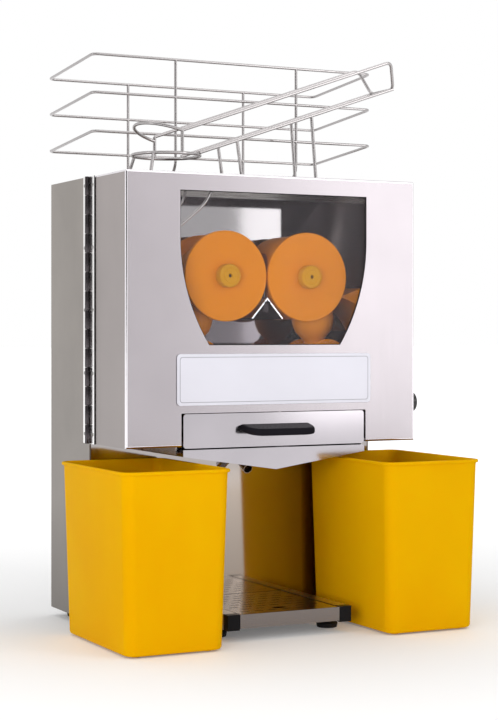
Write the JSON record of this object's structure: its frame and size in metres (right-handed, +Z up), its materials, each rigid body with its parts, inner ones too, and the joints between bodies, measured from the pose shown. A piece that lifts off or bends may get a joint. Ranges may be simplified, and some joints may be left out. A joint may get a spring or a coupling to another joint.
{
  "type": "automatic orange juicer",
  "caption": "Counter-top automatic orange juicer with fruit basket and ramp, drum presses behind a windowed door, filter drawer, drip tray and peel bins.",
  "frame": {"origin": "centre of the footprint of the whole outline, on the counter under the feet and bins", "axes": "+Z up, -Y to the front where the door and drawer face, +X to the machine's right seen from the front"},
  "size_m": [0.5324, 0.3984, 0.788],
  "materials": {
    "stainless": "fine brushed",
    "bright_steel": "polished",
    "tinted_window": "tinted, clear",
    "name_plate": "satin, bare",
    "orange_plastic": "satin",
    "amber_plastic": "satin",
    "yellow_plastic": "smooth",
    "white_plastic": "machined",
    "black_plastic": "glossy",
    "cast_aluminium": "cast"
  },
  "bodies": {
    "machine": {"column_shell": "stainless", "front_sheet": "stainless", "rear_cover": "stainless", "roof_plate": "stainless", "cable_gland": "black_plastic", "hinge_leaf_body": "bright_steel", "hinge_pin": "bright_steel", "latch_keeper": "stainless", "bearing_upper_left": "cast_aluminium", "bearing_upper_right": "cast_aluminium", "bearing_lower_left": "cast_aluminium", "bearing_lower_right": "cast_aluminium", "gearbox_bracket": "stainless", "gearbox": "cast_aluminium", "drive_motor": "cast_aluminium", "knife": "bright_steel", "divider": "stainless", "peel_wedge_left": "orange_plastic", "peel_wedge_right": "orange_plastic", "peel_chute_left": "stainless", "peel_chute_right": "stainless", "base_rail_left": "stainless", "base_rail_right": "stainless", "front_foot_left": "black_plastic", "front_foot_right": "black_plastic", "rear_foot_left": "black_plastic", "rear_foot_right": "black_plastic", "fruit_basket": "bright_steel", "feed_ramp": "bright_steel", "fruit_guide": "bright_steel", "switch_bezel": "black_plastic"},
    "door": {"door_shell": "stainless", "door_window": "tinted_window", "name_plate": "name_plate", "hinge_leaf_door": "bright_steel"},
    "door_latch": {"door_latch_knob": "black_plastic"},
    "upper_left_drum": {"drum_upper_left": "orange_plastic", "knob_upper_left": "amber_plastic", "axle_upper_left": "bright_steel", "gear_upper_left": "white_plastic"},
    "upper_right_drum": {"drum_upper_right": "orange_plastic", "knob_upper_right": "amber_plastic", "axle_upper_right": "bright_steel", "gear_upper_right": "white_plastic"},
    "lower_left_drum": {"drum_lower_left": "orange_plastic", "knob_lower_left": "amber_plastic", "axle_lower_left": "bright_steel", "gear_lower_left": "white_plastic"},
    "lower_right_drum": {"drum_lower_right": "orange_plastic", "knob_lower_right": "amber_plastic", "axle_lower_right": "bright_steel", "gear_lower_right": "white_plastic"},
    "filter_drawer": {"filter_drawer": "stainless", "drawer_handle": "black_plastic"},
    "juice_collector": {"juice_collector": "stainless"},
    "drip_tray": {"drip_tray": "stainless"},
    "drip_grille": {"drip_grille": "stainless"},
    "peel_bin_left": {"peel_bin_left": "yellow_plastic"},
    "peel_bin_right": {"peel_bin_right": "yellow_plastic"},
    "switch_rocker": {"switch_rocker": "black_plastic"}
  },
  "joints": [
    {"name": "door_hinge", "type": "hinge", "parent": "machine", "child": "door", "pos_m": [-0.2236, 0.03195, 0.437], "axis": [0, 0, -1], "range_deg": [0, 100]},
    {"name": "door_latch_turn", "type": "hinge", "parent": "door", "child": "door_latch", "pos_m": [0.23, -0.05505, 0.307], "axis": [1, 0, 0], "range_deg": [0, 90]},
    {"name": "upper_right_drum_spin", "type": "hinge", "parent": "machine", "child": "upper_right_drum", "pos_m": [0.0625, -0.02505, 0.483], "axis": [0, -1, 0], "continuous": true},
    {"name": "upper_left_drum_spin", "type": "hinge", "parent": "machine", "child": "upper_left_drum", "pos_m": [-0.0625, -0.02505, 0.483], "axis": [0, -1, 0], "continuous": true},
    {"name": "lower_right_drum_spin", "type": "hinge", "parent": "machine", "child": "lower_right_drum", "pos_m": [0.0985, -0.02505, 0.3633], "axis": [0, -1, 0], "continuous": true},
    {"name": "lower_left_drum_spin", "type": "hinge", "parent": "machine", "child": "lower_left_drum", "pos_m": [-0.0985, -0.02505, 0.3633], "axis": [0, -1, 0], "continuous": true},
    {"name": "filter_drawer_slide", "type": "slide", "parent": "machine", "child": "filter_drawer", "axis": [0, -1, 0], "range_m": [0, 0.12]},
    {"name": "juice_collector_slide", "type": "slide", "parent": "machine", "child": "juice_collector", "axis": [0, -1, 0], "range_m": [0, 0.1]},
    {"name": "drip_tray_slide", "type": "slide", "parent": "machine", "child": "drip_tray", "axis": [0, -1, 0], "range_m": [0, 0.15]},
    {"name": "drip_grille_lift", "type": "slide", "parent": "drip_tray", "child": "drip_grille", "axis": [0, 0, 1], "range_m": [0, 0.06]},
    {"name": "peel_bin_left_slide", "type": "slide", "parent": "machine", "child": "peel_bin_left", "axis": [0, -1, 0], "range_m": [0, 0.25]},
    {"name": "peel_bin_right_slide", "type": "slide", "parent": "machine", "child": "peel_bin_right", "axis": [0, -1, 0], "range_m": [0, 0.25]},
    {"name": "mains_switch_rock", "type": "hinge", "parent": "machine", "child": "switch_rocker", "pos_m": [0.216, 0.10495, 0.54], "axis": [0, -1, 0], "range_deg": [0, 16]}
  ],
  "couplings": [
    {"joint": "upper_left_drum_spin", "follows": "upper_right_drum_spin", "ratio": -1},
    {"joint": "lower_right_drum_spin", "follows": "upper_right_drum_spin", "ratio": -1},
    {"joint": "lower_left_drum_spin", "follows": "upper_right_drum_spin", "ratio": 1}
  ]
}
